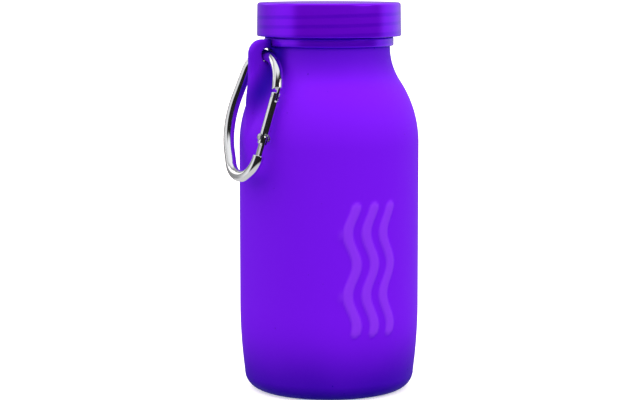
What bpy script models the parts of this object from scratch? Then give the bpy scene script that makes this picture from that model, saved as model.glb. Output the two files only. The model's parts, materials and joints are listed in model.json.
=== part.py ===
"""Folding silicone water bottle with a screw cap and a snap-gate carabiner.

Units are metres and +Z is up. The origin is where the bottle's axis meets the flat underside of its base.
The moulded ear, and the carabiner that hangs from it, point along -X.
"""

import math

import bmesh
import bpy
from mathutils import Matrix, Vector

# Overall sizes
HEIGHT = 0.1650            # base underside to the top of the cap
BODY_RADIUS = 0.0382       # outside of the silicone body
BODY_WALL = 0.0025         # silicone wall of the body
BASE_THICKNESS = 0.0034    # silicone floor of the body

# Foot of the body
FOOT_TAPER = 0.0019        # how much narrower the side is where the foot rounding ends
FOOT_ROUNDING = 0.0074     # rounding between the underside and the side
TAPER_HEIGHT = 0.0365      # height at which the taper of the foot ends

# Shoulder: a convex arc that runs into a concave one
SHOULDER_ARC = 0.0480      # radius of the convex arc
NECK_ARC = 0.0260          # radius of the concave arc

# The part of the side that folds
FOLD_BOTTOM = 0.0280       # height at which it starts
FOLD_MARGIN = 0.0020       # straight side left between its top and the shoulder

# Neck, collar and thread
MOUTH_RADIUS = 0.0210      # open bore of the mouth
NECK_LINING = 0.0020       # silicone wall inside the collar
NECK_STEP = 0.0002         # how far the silicone neck stands out below the collar's wall
NECK_STRAIGHT = 0.0004     # straight neck between the shoulder and the ledge
LEDGE_DEPTH = 0.0183       # cap top down to the ledge that carries the collar
COLLAR_WALL = 0.0024
FLANGE_HEIGHT = 0.0034     # bead of the collar that shows below the cap
FLANGE_OVERHANG = 0.0017   # how far the bead stands out from the collar's wall
THREAD_LEAD = 0.0040
THREAD_HEIGHT = 0.0009     # how far a thread ridge stands out from its wall
THREAD_ROOT = 0.0020       # width of a ridge at its wall
THREAD_CREST = 0.0009      # width of a ridge at its crest
COLLAR_TURNS = 1.60        # turns of the ridge on the collar
CAP_TURNS = 1.25           # turns of the ridge in the cap
THREAD_DROP = 0.0029       # from the collar's rim down to the top of its ridge
THREAD_FADE = 0.125        # share of a turn over which a ridge's end fades
THREAD_TUCK = 0.0003       # how far a ridge's very end dips below its wall
COLLAR_EDGE = 0.0004       # chamfer on the collar's edges

# Cap and seal
CAP_TOP_THICKNESS = 0.0021
CAP_SKIRT = 0.0142         # cap top down to the lower edge of the skirt
CAP_WALL = 0.0036
CAP_DRAFT = 0.0002         # how much narrower the cap is at its top
CAP_EDGE = 0.0009          # rounding of the cap's top edge
CAP_LIP = 0.0005           # chamfer on the skirt's lower edge
PLUG_DEPTH = 0.0032        # ring under the cap that enters the mouth
PLUG_WALL = 0.0014
SEAL_THICKNESS = 0.0014

# Ear
EAR_THICKNESS = 0.0046
EAR_DROP = 0.0009          # lower edge of the cap's skirt down to the top of the ear
EAR_CORNER = 0.0060        # rounding of the ear's upper outer corner
EAR_REACH = 0.0098         # collar's bead out to the ear's outer edge
HOLE_CLEARANCE = 0.0008    # between the carabiner's wire and the ear's hole
EAR_HOLE_INSET = 0.0077    # ear's outer edge to the hole's centre
EAR_HOLE_DROP = 0.0064     # ear's top to the hole's centre

# Carabiner, laid out in its own plane with the ear's hole at (0, 0)
WIRE_RADIUS = 0.0023
CARABINER_STANDOFF = 0.0020          # space between the wire and the body's side
CARABINER_TWIST = math.radians(6.6)  # how far it is turned from square to the ear
GATE_SIDE = 0.0168         # centre of the straight gate side, out from the hole
CARABINER_DROP = 0.0520    # hole to the lowest corner of the wire's centre line
NOSE_CORNER = (0.0118, -0.0025)   # corners of the centre line, each rounded by the bend named after it
BACK_CORNER = (-0.0095, 0.0019)
SPINE_CORNER = (-0.0154, -0.0316)
HEEL_REACH = 0.0007        # last corner of the back, out from the hole
NOSE_BEND = 0.0162
BACK_BEND = 0.0090
SPINE_BEND = 0.0293
HEEL_BEND = 0.0122
GATE_BEND = 0.0090

# Gate, its latch and its rivet
GATE_RADIUS = 0.0020
GATE_EDGE = 0.0005         # chamfer on the gate's ends
NOSE_DROP = 0.0142         # top of the carabiner down to the end of its nose
GATE_TOP_DROP = 0.0156
GATE_TAIL = 0.0028         # gate's lower end below the rivet
RIVET_DROP = 0.0348
RIVET_RADIUS = 0.0008
RIVET_HEAD_RADIUS = 0.0014
RIVET_HEAD_HEIGHT = 0.0006
TONGUE_THICKNESS = 0.0016
TONGUE_WIDTH = 0.0028
HOOK_THICKNESS = 0.0012
HOOK_LENGTH = 0.0046       # nose's end to the tip of the hook
HOOK_STEM = 0.0010
HOOK_LIP = 0.0009
LATCH_RADIUS = 0.0005
GATE_BORE = 0.0011
BORE_LENGTH = 0.0100
PLUNGER_LENGTH = 0.0030
PLUNGER_TIP = 0.0003       # chamfer on the plunger's end
SPRING_WIRE = 0.0002
SPRING_TURNS = 7

# Clearances
GAP = 0.0003               # between pieces that rest on each other
THREAD_GAP = 0.0004        # between the two threads
SMALL_GAP = 0.0002         # between the carabiner's small pieces
SINK = 0.0005              # how far a joined shape reaches into its neighbour
OVERCUT = 3                # a cutter is this many times as long as what it cuts

# Facets
ROUND_STEPS = 60
THREAD_STEPS = 48
HOLE_STEPS = 24
GATE_STEPS = 24
SMALL_STEPS = 16
PIN_STEPS = 12
BEND_STEPS = 9
CORNER_STEPS = 8
SHOULDER_STEPS = 7
FOOT_STEPS = 5
EDGE_STEPS = 4
DOME_STEPS = 3
SPRING_STEPS = 9
WIRE_RESOLUTION = 4
SPRING_RESOLUTION = 1

# Heights and radii that follow from the sizes above
CAP_UNDERSIDE = HEIGHT - CAP_TOP_THICKNESS
SEAL_TOP = CAP_UNDERSIDE - GAP
RIM = SEAL_TOP - SEAL_THICKNESS - GAP
LEDGE = HEIGHT - LEDGE_DEPTH
SKIRT_BOTTOM = HEIGHT - CAP_SKIRT
EAR_TOP = SKIRT_BOTTOM - EAR_DROP
EAR_HOLE = WIRE_RADIUS + HOLE_CLEARANCE
LINING_RADIUS = MOUTH_RADIUS + NECK_LINING
COLLAR_BORE = LINING_RADIUS + GAP
COLLAR_RADIUS = COLLAR_BORE + COLLAR_WALL
NECK_RADIUS = COLLAR_RADIUS + NECK_STEP
FLANGE_RADIUS = COLLAR_RADIUS + FLANGE_OVERHANG
CAP_BORE = COLLAR_RADIUS + THREAD_HEIGHT + THREAD_GAP
CAP_RADIUS = CAP_BORE + CAP_WALL
THREAD_BOTTOM = RIM - THREAD_DROP - THREAD_LEAD * COLLAR_TURNS
FOOT_RADIUS = BODY_RADIUS - FOOT_TAPER
NARROWING = BODY_RADIUS - NECK_RADIUS
SHOULDER_REACH = SHOULDER_ARC + NECK_ARC
SHOULDER_TOP = LEDGE - NECK_STRAIGHT
SHOULDER_FOOT = SHOULDER_TOP - math.sqrt(2 * SHOULDER_REACH * NARROWING - NARROWING ** 2)
FOLD_TOP = SHOULDER_FOOT - FOLD_MARGIN
EAR_EDGE_RADIUS = FLANGE_RADIUS + EAR_REACH
HOLE_X = EAR_HOLE_INSET - EAR_EDGE_RADIUS
HOLE_Z = EAR_TOP - EAR_HOLE_DROP

# The wire hangs a little low in the ear's hole, and the carabiner leans out over the body
WIRE_X = HOLE_X - SMALL_GAP
WIRE_Z = HOLE_Z - SMALL_GAP
LEAN_REACH = BODY_RADIUS + WIRE_RADIUS + CARABINER_STANDOFF + WIRE_X
CARABINER_TILT = math.atan2(LEAN_REACH, WIRE_Z - SHOULDER_FOOT)


def clear_scene():
    for item in list(bpy.data.objects):
        bpy.data.objects.remove(item, do_unlink=True)


def new_material(name, colour, roughness, metallic=0.0):
    material = bpy.data.materials.new(name)
    material.use_nodes = True
    shader = material.node_tree.nodes["Principled BSDF"]
    shader.inputs["Base Color"].default_value = (*colour, 1.0)
    shader.inputs["Roughness"].default_value = roughness
    shader.inputs["Metallic"].default_value = metallic
    return material


def new_object(name, mesh, material):
    item = bpy.data.objects.new(name, mesh)
    bpy.context.collection.objects.link(item)
    mesh.materials.append(material)
    return item


def mesh_from(name, bm, smooth_angle=30.0):
    bmesh.ops.recalc_face_normals(bm, faces=bm.faces)
    mesh = bpy.data.meshes.new(name)
    bm.to_mesh(mesh)
    bm.free()
    mesh.shade_smooth()
    mesh.set_sharp_from_angle(angle=math.radians(smooth_angle))
    return mesh


def hide_tool(item):
    item.hide_render = True
    item.display_type = "WIRE"


def add_boolean(item, tool, operation):
    modifier = item.modifiers.new(tool.name, "BOOLEAN")
    modifier.operation = operation
    modifier.solver = "EXACT"
    modifier.object = tool
    hide_tool(tool)


def arc(centre, radius, start, end, steps):
    """Points (x, z) on an arc, from one angle to another in degrees, both ends included."""
    angles = [math.radians(start + (end - start) * i / steps) for i in range(steps + 1)]
    return [(centre[0] + radius * math.cos(a), centre[1] + radius * math.sin(a)) for a in angles]


def turned(name, profile, material, steps=ROUND_STEPS):
    """A solid turned about Z from a closed outline of (radius, height) points."""
    bm = bmesh.new()
    corners = [bm.verts.new((radius, 0.0, height)) for radius, height in profile]
    edges = [bm.edges.new(pair) for pair in zip(corners, corners[1:])]
    if profile[0][0] > 0.0 or profile[-1][0] > 0.0:
        edges.append(bm.edges.new((corners[-1], corners[0])))
    bmesh.ops.spin(bm, geom=corners + edges, cent=(0, 0, 0), axis=(0, 0, 1), angle=math.tau,
                   steps=steps, use_merge=True)
    bmesh.ops.remove_doubles(bm, verts=bm.verts, dist=1e-6)
    return new_object(name, mesh_from(name, bm), material)


def plate(name, outline, thickness, material):
    """A flat plate from an outline of (x, z) points, as thick along Y as asked, centred on Y = 0."""
    bm = bmesh.new()
    face = bm.faces.new([bm.verts.new((x, -thickness / 2, z)) for x, z in outline])
    grown = bmesh.ops.extrude_face_region(bm, geom=[face])
    moved = [v for v in grown["geom"] if isinstance(v, bmesh.types.BMVert)]
    bmesh.ops.translate(bm, verts=moved, vec=(0, thickness, 0))
    return new_object(name, mesh_from(name, bm), material)


def rod(name, radius, length, material, axis="Z", steps=SMALL_STEPS):
    """A round bar centred on the origin, along Z or Y."""
    bm = bmesh.new()
    bmesh.ops.create_cone(bm, cap_ends=True, segments=steps, radius1=radius, radius2=radius, depth=length)
    if axis == "Y":
        bmesh.ops.rotate(bm, verts=bm.verts, cent=(0, 0, 0), matrix=Matrix.Rotation(math.pi / 2, 3, "X"))
    return new_object(name, mesh_from(name, bm), material)


def block(name, size, material):
    bm = bmesh.new()
    bmesh.ops.create_cube(bm, size=1.0)
    bmesh.ops.scale(bm, vec=size, verts=bm.verts)
    return new_object(name, mesh_from(name, bm), material)


def wire_mesh(name, points, radius, resolution):
    """A round wire with closed ends along a list of points, as a mesh."""
    curve = bpy.data.curves.new(name, "CURVE")
    curve.dimensions = "3D"
    curve.bevel_depth = radius
    curve.bevel_resolution = resolution
    curve.use_fill_caps = True
    spline = curve.splines.new("POLY")
    spline.points.add(len(points) - 1)
    for point, place in zip(spline.points, points):
        point.co = (*place, 1.0)
    guide = bpy.data.objects.new(name + "_guide", curve)
    bpy.context.collection.objects.link(guide)
    mesh = bpy.data.meshes.new_from_object(guide.evaluated_get(bpy.context.evaluated_depsgraph_get()))
    bpy.data.objects.remove(guide, do_unlink=True)
    bm = bmesh.new()
    bm.from_mesh(mesh)
    bmesh.ops.remove_doubles(bm, verts=bm.verts, dist=1e-6)
    return mesh_from(name, bm)


def thread(name, wall_radius, bottom, turns, inward, material):
    """A right-hand helical ridge on a round wall, with ends that fade into the wall."""
    side = -1.0 if inward else 1.0
    bm = bmesh.new()
    steps = round(THREAD_STEPS * turns)
    rings = []
    for i in range(steps + 1):
        turn = i / THREAD_STEPS
        angle = math.tau * turn
        fade = min(1.0, turn / THREAD_FADE, (turns - turn) / THREAD_FADE)
        crest = wall_radius + side * (THREAD_HEIGHT * fade - THREAD_TUCK * (1.0 - fade))
        root = wall_radius - side * SINK
        height = bottom + THREAD_LEAD * turn
        spots = [(root, -THREAD_ROOT), (crest, -THREAD_CREST), (crest, THREAD_CREST), (root, THREAD_ROOT)]
        rings.append([bm.verts.new((r * math.cos(angle), r * math.sin(angle), height + half / 2))
                      for r, half in spots])
    for low, high in zip(rings, rings[1:]):
        for k in range(4):
            bm.faces.new((low[k], low[(k + 1) % 4], high[(k + 1) % 4], high[k]))
    bm.faces.new(rings[0])
    bm.faces.new(list(reversed(rings[-1])))
    return new_object(name, mesh_from(name, bm), material)


def shoulder_arcs(inset):
    """The shoulder's two arcs from the side up to the neck, set in from the outer skin."""
    turn = math.degrees(math.atan2(SHOULDER_TOP - SHOULDER_FOOT, SHOULDER_REACH - NARROWING))
    convex = arc((BODY_RADIUS - SHOULDER_ARC, SHOULDER_FOOT), SHOULDER_ARC - inset, 0, turn, SHOULDER_STEPS)
    concave = arc((NECK_RADIUS + NECK_ARC, SHOULDER_TOP), NECK_ARC + inset, 180 + turn, 180, SHOULDER_STEPS)
    return convex + concave[1:]


def foot_curve(inset, floor):
    """The foot's outline from the floor up to the straight side, set in from the outer skin."""
    radius = FOOT_ROUNDING - inset
    corner = arc((FOOT_RADIUS - FOOT_ROUNDING, FOOT_ROUNDING), radius, -90, 0, FOOT_STEPS)
    corner = [(r, max(z, floor)) for r, z in corner]
    rise = TAPER_HEIGHT - FOOT_ROUNDING
    widening = BODY_RADIUS - FOOT_RADIUS
    taper = []
    for i in range(1, FOOT_STEPS + 1):
        share = i / FOOT_STEPS
        taper.append((BODY_RADIUS - inset - widening * (1 - share) ** 2, FOOT_ROUNDING + rise * share))
    return corner + taper


def up_to(points, height):
    """The part of an upward outline that lies below a height, with a point made on it."""
    kept = [p for p in points if p[1] < height]
    if len(kept) == len(points):
        return kept + [(points[-1][0], height)]
    low, high = kept[-1], points[len(kept)]
    share = (height - low[1]) / (high[1] - low[1])
    return kept + [(low[0] + (high[0] - low[0]) * share, height)]


def make_base(silicone):
    outside = up_to(foot_curve(0.0, 0.0), FOLD_BOTTOM)
    inside = up_to(foot_curve(BODY_WALL, BASE_THICKNESS), FOLD_BOTTOM)
    inside = [p for p in inside if p[1] > BASE_THICKNESS + 1e-6]
    floor_edge = (FOOT_RADIUS - FOOT_ROUNDING, BASE_THICKNESS)
    profile = [(0.0, 0.0)] + outside + list(reversed(inside)) + [floor_edge, (0.0, BASE_THICKNESS)]
    turned("body_base", profile, silicone)


def make_wall(silicone):
    bottom = FOLD_BOTTOM + GAP
    top = FOLD_TOP - GAP
    outside = [p for p in foot_curve(0.0, 0.0) if bottom < p[1]]
    first = up_to(foot_curve(0.0, 0.0), bottom)[-1]
    outline = [first] + outside + [(BODY_RADIUS, top)]
    inside = [(r - BODY_WALL, z) for r, z in reversed(outline)]
    turned("body_wall", outline + inside, silicone)


def ear_outline():
    """The ear's outline: its inner side lies in the middle of the shoulder's wall."""
    corner = arc((EAR_CORNER - EAR_EDGE_RADIUS, EAR_TOP - EAR_CORNER), EAR_CORNER, 180, 90, CORNER_STEPS)
    collar_side = -(FLANGE_RADIUS + GAP)
    buried = [(-r, z) for r, z in reversed(shoulder_arcs(BODY_WALL / 2))]
    below_ledge = LEDGE - GAP
    neck = [(collar_side, EAR_TOP), (collar_side, below_ledge), (BODY_WALL / 2 - NECK_RADIUS, below_ledge)]
    return corner + neck + buried[1:] + [(-EAR_EDGE_RADIUS, SHOULDER_FOOT)]


def make_shoulder(silicone):
    outside = [(BODY_RADIUS, FOLD_TOP)] + shoulder_arcs(0.0) + [(NECK_RADIUS, LEDGE)]
    lining = [(LINING_RADIUS, LEDGE), (LINING_RADIUS, RIM), (MOUTH_RADIUS, RIM), (MOUTH_RADIUS, LEDGE)]
    inside = shoulder_arcs(BODY_WALL)[:-1]
    profile = outside + lining + list(reversed(inside)) + [(BODY_RADIUS - BODY_WALL, FOLD_TOP)]
    shoulder = turned("body_shoulder", profile, silicone)
    ear = plate("ear_shape", ear_outline(), EAR_THICKNESS, silicone)
    hole = rod("ear_hole", EAR_HOLE, EAR_THICKNESS * OVERCUT, silicone, "Y", HOLE_STEPS)
    hole.location = (HOLE_X, 0.0, HOLE_Z)
    add_boolean(ear, hole, "DIFFERENCE")
    add_boolean(shoulder, ear, "UNION")


def make_collar(plastic):
    flange_top = LEDGE + GAP + FLANGE_HEIGHT
    profile = [
        (COLLAR_BORE, LEDGE + GAP),
        (FLANGE_RADIUS - COLLAR_EDGE, LEDGE + GAP),
        (FLANGE_RADIUS, LEDGE + GAP + COLLAR_EDGE),
        (FLANGE_RADIUS, flange_top - COLLAR_EDGE),
        (FLANGE_RADIUS - COLLAR_EDGE, flange_top),
        (COLLAR_RADIUS, flange_top),
        (COLLAR_RADIUS, RIM - COLLAR_EDGE),
        (COLLAR_RADIUS - COLLAR_EDGE, RIM),
        (COLLAR_BORE, RIM),
    ]
    collar = turned("neck_collar", profile, plastic)
    ridge = thread("collar_thread", COLLAR_RADIUS, THREAD_BOTTOM, COLLAR_TURNS, False, plastic)
    add_boolean(collar, ridge, "UNION")


def make_seal(rubber):
    inner = MOUTH_RADIUS + GAP
    outer = COLLAR_RADIUS
    bottom = SEAL_TOP - SEAL_THICKNESS
    edge = SEAL_THICKNESS / 4
    profile = [(inner, bottom), (outer - edge, bottom), (outer, bottom + edge), (outer, SEAL_TOP - edge),
               (outer - edge, SEAL_TOP), (inner, SEAL_TOP)]
    turned("cap_seal", profile, rubber)


def make_cap(plastic):
    top_radius = CAP_RADIUS - CAP_DRAFT
    edge = arc((top_radius - CAP_EDGE, HEIGHT - CAP_EDGE), CAP_EDGE, 90, 0, EDGE_STEPS)
    plug_outer = MOUTH_RADIUS - GAP
    plug_bottom = CAP_UNDERSIDE - PLUG_DEPTH
    profile = [(0.0, HEIGHT)] + edge + [
        (CAP_RADIUS, SKIRT_BOTTOM + CAP_LIP),
        (CAP_RADIUS - CAP_LIP, SKIRT_BOTTOM),
        (CAP_BORE + CAP_LIP, SKIRT_BOTTOM),
        (CAP_BORE, SKIRT_BOTTOM + CAP_LIP),
        (CAP_BORE, CAP_UNDERSIDE),
        (plug_outer, CAP_UNDERSIDE),
        (plug_outer, plug_bottom),
        (plug_outer - PLUG_WALL, plug_bottom),
        (plug_outer - PLUG_WALL, CAP_UNDERSIDE),
        (0.0, CAP_UNDERSIDE),
    ]
    cap = turned("cap_shell", profile, plastic)
    ridge = thread("cap_thread", CAP_BORE, THREAD_BOTTOM + THREAD_LEAD / 2, CAP_TURNS, True, plastic)
    add_boolean(cap, ridge, "UNION")


def rounded_path(corners, steps):
    """Points along straight runs joined by bends: corners are (x, z, bend radius)."""
    points = []
    for before, here, after in zip(corners, corners[1:], corners[2:]):
        spot = Vector(here[:2])
        back = (Vector(before[:2]) - spot).normalized()
        ahead = (Vector(after[:2]) - spot).normalized()
        half = back.angle(ahead) / 2
        centre = spot + (back + ahead).normalized() * (here[2] / math.sin(half))
        first = spot + back * (here[2] / math.tan(half)) - centre
        turn = math.copysign(180 - math.degrees(2 * half), back.x * ahead.y - back.y * ahead.x)
        angle = math.degrees(math.atan2(first.y, first.x))
        points += arc(centre, here[2], angle, angle - turn, steps)
    return [(x, 0.0, z) for x, z in [corners[0][:2]] + points + [corners[-1][:2]]]


def carabiner_path():
    corners = [
        (GATE_SIDE, -NOSE_DROP, 0.0),
        (*NOSE_CORNER, NOSE_BEND),
        (*BACK_CORNER, BACK_BEND),
        (*SPINE_CORNER, SPINE_BEND),
        (HEEL_REACH, -CARABINER_DROP, HEEL_BEND),
        (GATE_SIDE, -CARABINER_DROP, GATE_BEND),
        (GATE_SIDE, GATE_BEND - CARABINER_DROP + SINK, 0.0),
    ]
    return rounded_path(corners, BEND_STEPS)


def hook_outline():
    """The nose's hook: a stem on the outer side, and a lip that turns in under the latch pin."""
    outer = GATE_SIDE + LATCH_RADIUS + SMALL_GAP + HOOK_STEM
    inner = GATE_SIDE - LATCH_RADIUS
    tip = -NOSE_DROP - HOOK_LENGTH
    buried = 2 * SINK - NOSE_DROP
    return [(outer - HOOK_STEM, buried), (outer, buried), (outer, tip), (inner, tip), (inner, tip + HOOK_LIP),
            (outer - HOOK_STEM, tip + HOOK_LIP)]


def tongue_outline():
    """The tongue: round about the rivet, with its foot inside the wire."""
    half = TONGUE_WIDTH / 2
    top = arc((GATE_SIDE, -RIVET_DROP), half, 0, 180, CORNER_STEPS)
    foot = GATE_BEND - CARABINER_DROP - 2 * SINK
    return top + [(GATE_SIDE - half, foot), (GATE_SIDE + half, foot)]


def make_carabiner_frame(pivot, steel):
    mesh = wire_mesh("carabiner_frame", carabiner_path(), WIRE_RADIUS, WIRE_RESOLUTION)
    frame = new_object("carabiner_frame", mesh, steel)
    hook = plate("hook_shape", hook_outline(), HOOK_THICKNESS, steel)
    tongue = plate("tongue_shape", tongue_outline(), TONGUE_THICKNESS, steel)
    bore = rod("tongue_bore", RIVET_RADIUS + SMALL_GAP / 2, TONGUE_THICKNESS * OVERCUT, steel, "Y")
    bore.location = (GATE_SIDE, 0.0, -RIVET_DROP)
    add_boolean(tongue, bore, "DIFFERENCE")
    add_boolean(frame, hook, "UNION")
    add_boolean(frame, tongue, "UNION")
    for item in (frame, hook, tongue, bore):
        item.parent = pivot


def latch_height():
    """The latch pin's height above the rivet: it sits in the pocket over the hook's lip."""
    lip_top = -NOSE_DROP - HOOK_LENGTH + HOOK_LIP
    return lip_top + SMALL_GAP + LATCH_RADIUS + RIVET_DROP


def make_gate(gate_pivot, steel):
    """The gate is laid out about its rivet, which is at its own origin."""
    top = RIVET_DROP - GATE_TOP_DROP
    gate = turned("carabiner_gate", gate_profile(top), steel, GATE_STEPS)
    through = GATE_RADIUS * OVERCUT
    nose_slot = block("nose_slot", (through, HOOK_THICKNESS + 2 * SMALL_GAP, 2 * nose_slot_depth()), steel)
    nose_slot.location.z = top
    fork_depth = TONGUE_WIDTH / 2 + SMALL_GAP
    fork_size = (through, TONGUE_THICKNESS + 2 * SMALL_GAP, 2 * GATE_TAIL + 2 * fork_depth)
    fork_slot = block("fork_slot", fork_size, steel)
    fork_slot.location.z = -GATE_TAIL
    bore = rod("gate_bore", GATE_BORE, BORE_LENGTH + SINK, steel)
    bore.location.z = fork_depth + (BORE_LENGTH - SINK) / 2
    rivet_hole = rod("rivet_hole", RIVET_RADIUS + SMALL_GAP, through, steel, "Y")
    latch_hole = rod("latch_hole", LATCH_RADIUS + SMALL_GAP / 2, through, steel, "Y")
    latch_hole.location.z = latch_height()
    for tool in (nose_slot, fork_slot, bore, rivet_hole, latch_hole):
        add_boolean(gate, tool, "DIFFERENCE")
        tool.parent = gate_pivot
    gate.parent = gate_pivot


def nose_slot_depth():
    return HOOK_LENGTH - (GATE_TOP_DROP - NOSE_DROP) + 4 * SMALL_GAP


def gate_profile(top):
    return [
        (0.0, -GATE_TAIL),
        (GATE_RADIUS - GATE_EDGE, -GATE_TAIL),
        (GATE_RADIUS, -GATE_TAIL + GATE_EDGE),
        (GATE_RADIUS, top - GATE_EDGE),
        (GATE_RADIUS - GATE_EDGE, top),
        (0.0, top),
    ]


def make_latch_pin(gate_pivot, steel):
    length = 2 * math.sqrt(GATE_RADIUS ** 2 - LATCH_RADIUS ** 2)
    pin = rod("latch_pin", LATCH_RADIUS, length, steel, "Y", PIN_STEPS)
    pin.location.z = latch_height()
    pin.parent = gate_pivot


def make_plunger(gate_pivot, steel):
    """The plunger stands over the tongue's round end, and the spring pushes it down."""
    radius = GATE_BORE - SMALL_GAP
    bottom = TONGUE_WIDTH / 2 + SMALL_GAP
    profile = [(0.0, bottom), (radius - PLUNGER_TIP, bottom), (radius, bottom + PLUNGER_TIP),
               (radius, bottom + PLUNGER_LENGTH), (0.0, bottom + PLUNGER_LENGTH)]
    plunger = turned("gate_plunger", profile, steel, SMALL_STEPS)
    plunger.parent = gate_pivot


def make_spring(gate_pivot, steel):
    bottom = TONGUE_WIDTH / 2 + 2 * SMALL_GAP + PLUNGER_LENGTH + SPRING_WIRE
    top = TONGUE_WIDTH / 2 + BORE_LENGTH - SPRING_WIRE
    coil = GATE_BORE - SMALL_GAP - SPRING_WIRE
    steps = SPRING_TURNS * SPRING_STEPS
    points = []
    for i in range(steps + 1):
        angle = math.tau * SPRING_TURNS * i / steps
        points.append((coil * math.cos(angle), coil * math.sin(angle), bottom + (top - bottom) * i / steps))
    mesh = wire_mesh("gate_spring", points, SPRING_WIRE, SPRING_RESOLUTION)
    spring = new_object("gate_spring", mesh, steel)
    spring.parent = gate_pivot


def make_rivet(gate_pivot, steel):
    """A shank along Z with a domed head at each end, turned to lie across the gate."""
    face = GATE_RADIUS + SMALL_GAP
    dome = arc((0.0, face), 1.0, 0, 90, DOME_STEPS)
    dome = [(x * RIVET_HEAD_RADIUS, face + (z - face) * RIVET_HEAD_HEIGHT) for x, z in dome]
    top = [(RIVET_RADIUS, face)] + dome[:-1] + [(0.0, face + RIVET_HEAD_HEIGHT)]
    bottom = [(r, -z) for r, z in reversed(top)]
    rivet = turned("gate_rivet", bottom + top, steel, SMALL_STEPS)
    rivet.rotation_euler.x = math.pi / 2
    rivet.parent = gate_pivot


def make_carabiner(steel, bright):
    pivot = bpy.data.objects.new("carabiner_pivot", None)
    bpy.context.collection.objects.link(pivot)
    pivot.location = (WIRE_X, 0.0, WIRE_Z)
    pivot.rotation_euler = (-CARABINER_TILT, 0.0, CARABINER_TWIST - math.pi / 2)
    gate_pivot = bpy.data.objects.new("gate_pivot", None)
    bpy.context.collection.objects.link(gate_pivot)
    gate_pivot.location = (GATE_SIDE, 0.0, -RIVET_DROP)
    gate_pivot.parent = pivot
    make_carabiner_frame(pivot, bright)
    make_gate(gate_pivot, bright)
    make_latch_pin(gate_pivot, steel)
    make_plunger(gate_pivot, steel)
    make_spring(gate_pivot, steel)
    make_rivet(gate_pivot, steel)


def main():
    clear_scene()
    silicone = new_material("silicone", (0.18, 0.01, 0.82), 0.45)
    plastic = new_material("hard_plastic", (0.12, 0.0, 0.68), 0.22)
    rubber = new_material("seal_rubber", (0.75, 0.75, 0.78), 0.60)
    bright = new_material("bright_metal", (0.80, 0.80, 0.82), 0.15, 1.0)
    steel = new_material("pin_steel", (0.60, 0.60, 0.62), 0.30, 1.0)
    make_base(silicone)
    make_wall(silicone)
    make_shoulder(silicone)
    make_collar(plastic)
    make_seal(rubber)
    make_cap(plastic)
    make_carabiner(steel, bright)


main()
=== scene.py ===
"""Looks of a folding silicone bottle with a screw cap and a snap-gate carabiner.

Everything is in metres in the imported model's own frame: +Z up the bottle, with the ear and its carabiner
on the -X side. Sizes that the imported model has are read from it.
"""

import json
import math

import bmesh
import bpy
import numpy as np
from bpy.props import FloatProperty, FloatVectorProperty, PointerProperty
from mathutils import Matrix, Vector


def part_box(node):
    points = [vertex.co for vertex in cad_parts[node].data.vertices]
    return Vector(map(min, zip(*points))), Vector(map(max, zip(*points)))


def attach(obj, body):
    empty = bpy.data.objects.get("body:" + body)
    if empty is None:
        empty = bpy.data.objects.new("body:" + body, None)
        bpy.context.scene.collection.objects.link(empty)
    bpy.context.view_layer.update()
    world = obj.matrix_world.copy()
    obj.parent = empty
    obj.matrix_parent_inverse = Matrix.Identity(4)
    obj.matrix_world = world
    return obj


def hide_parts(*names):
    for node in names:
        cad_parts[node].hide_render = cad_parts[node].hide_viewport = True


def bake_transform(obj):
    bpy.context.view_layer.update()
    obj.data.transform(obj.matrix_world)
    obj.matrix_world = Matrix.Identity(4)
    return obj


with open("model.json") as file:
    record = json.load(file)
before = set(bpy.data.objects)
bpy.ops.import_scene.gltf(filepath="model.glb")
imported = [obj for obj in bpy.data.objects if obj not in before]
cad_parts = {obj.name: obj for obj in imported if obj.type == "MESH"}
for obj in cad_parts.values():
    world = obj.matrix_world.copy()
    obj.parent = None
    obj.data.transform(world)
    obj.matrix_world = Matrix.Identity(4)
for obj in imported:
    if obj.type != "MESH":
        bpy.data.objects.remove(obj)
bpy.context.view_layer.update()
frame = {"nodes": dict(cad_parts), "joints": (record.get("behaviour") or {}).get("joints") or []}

bl_info = {
    "name": "Folding silicone bottle",
    "version": (1, 0, 0),
    "blender": (4, 5, 0),
    "location": "3D View > Sidebar > Bottle",
    "description": "Builds the body, cap, collar and carabiner of a folding bottle on its packed frame",
    "category": "Object",
}

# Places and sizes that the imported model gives
BODY_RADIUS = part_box("body_shoulder")[1].x
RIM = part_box("body_shoulder")[1].z
COLLAR_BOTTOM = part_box("neck_collar")[0].z
BEAD_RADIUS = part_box("neck_collar")[1].x
COLLAR_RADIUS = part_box("cap_seal")[1].x
SKIRT_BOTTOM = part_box("cap_shell")[0].z
CAP_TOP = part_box("cap_shell")[1].z
CAP_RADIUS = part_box("cap_shell")[1].x

# Clearances and walls shared by the pieces
GAP = 0.0003
SMALL_GAP = 0.0002
WALL = 0.0025
FLOOR = 0.0034
LINING = 0.0020
COLLAR_WALL = 0.0024
LEDGE = COLLAR_BOTTOM - GAP
COLLAR_BORE = COLLAR_RADIUS - COLLAR_WALL
LINING_RADIUS = COLLAR_BORE - GAP
MOUTH_RADIUS = LINING_RADIUS - LINING
NECK_RADIUS = COLLAR_RADIUS + SMALL_GAP

# Body outline
FOOT_TAPER = 0.0019
FOOT_ROUNDING = 0.0074
FOOT_TOP = 0.0365
FOOT_RADIUS = BODY_RADIUS - FOOT_TAPER
SHOULDER_ARC = 0.0480
NECK_ARC = 0.0260
NECK_STRAIGHT = 0.0004
UNDERSIDE_ROWS = (0.012, 0.022)
FLOOR_ROW = 0.014
RIM_ROUNDING = 0.0007
SIDE_ROW = 0.0010
INNER_ROW = 0.0024

# Ear
EAR_EDGE = 0.0015
EAR_CORNER = 0.0060
EAR_DROP = 0.0009
EAR_REACH = 0.0098
EAR_TOP = SKIRT_BOTTOM - EAR_DROP
EAR_OUTSIDE = BEAD_RADIUS + EAR_REACH
HOLE_EDGE = 0.0008
EAR_VOXEL = 0.0007

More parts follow.
